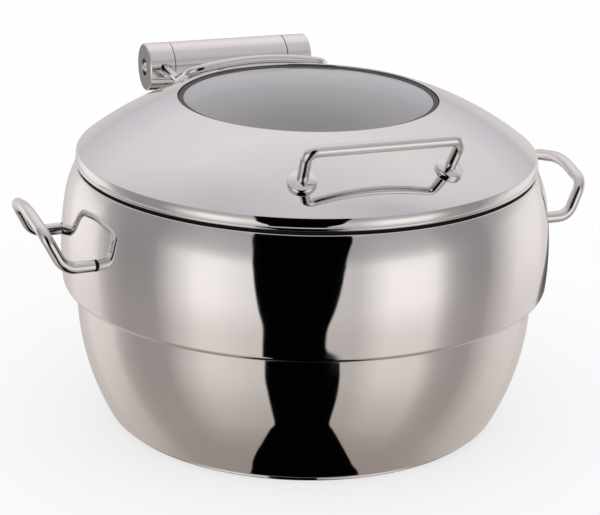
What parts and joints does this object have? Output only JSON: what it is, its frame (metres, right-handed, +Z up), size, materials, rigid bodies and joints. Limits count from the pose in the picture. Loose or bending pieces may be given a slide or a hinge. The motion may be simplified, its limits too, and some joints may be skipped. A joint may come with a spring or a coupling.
{
  "type": "round chafer",
  "caption": "Round mirror-steel chafer: deep bowl under a barrel-shaped ring, domed lid with a round glass window on a damped rear barrel hinge, bent rod handles and a drop-in food pan.",
  "frame": {"origin": "centre of the flat underside of the base, where the chafer stands on a table or hob", "axes": "+Z up; -Y to the front, where the lid handle is; +Y to the rear, where the hinge barrel is; +X to the right-hand side handle seen from the front"},
  "size_m": [0.5022, 0.456, 0.2901],
  "materials": {
    "mirror_steel": "mirror-polished stainless steel",
    "satin_steel": "satin stainless steel",
    "dark_steel": "plain steel, slightly dark",
    "induction_steel": "fine-ground magnetic steel",
    "black_seal": "matt silicone",
    "grey_gasket": "satin silicone",
    "window_glass": "clear tempered glass",
    "bronze": "sintered bronze",
    "damper_body": "black oxide"
  },
  "bodies": {
    "base": {"base_bowl": "mirror_steel", "foot_ring": "mirror_steel", "induction_disc": "induction_steel", "upper_ring": "mirror_steel", "seal_ring": "black_seal", "food_pan": "satin_steel", "left_handle": "mirror_steel", "right_handle": "mirror_steel", "handle_backing_pads": "satin_steel", "hinge_bracket": "satin_steel", "bracket_screws": "dark_steel", "bracket_backing_plate": "satin_steel", "hinge_barrel": "mirror_steel", "bearing_bush_left": "bronze", "bearing_bush_right": "bronze", "damper_cartridge": "damper_body", "torsion_spring": "dark_steel"},
    "lid": {"lid_shell": "mirror_steel", "lid_collar": "satin_steel", "window_gasket": "grey_gasket", "window_glass": "window_glass", "window_retainer": "satin_steel", "retainer_screws": "dark_steel", "lid_handle": "mirror_steel", "handle_rosette_left": "mirror_steel", "handle_rosette_right": "mirror_steel", "handle_screws": "dark_steel", "hinge_bar": "mirror_steel", "hinge_bar_studs": "dark_steel", "hinge_bar_nuts": "dark_steel", "hinge_end_left": "mirror_steel", "hinge_end_right": "mirror_steel", "hinge_shaft": "dark_steel", "end_screws": "dark_steel", "grub_screws": "dark_steel"}
  },
  "joints": [
    {"name": "lid_hinge", "type": "hinge", "parent": "base", "child": "lid", "pos_m": [0, 0.2238, 0.2561], "axis": [-1, 0, 0], "range_deg": [0, 90]}
  ]
}
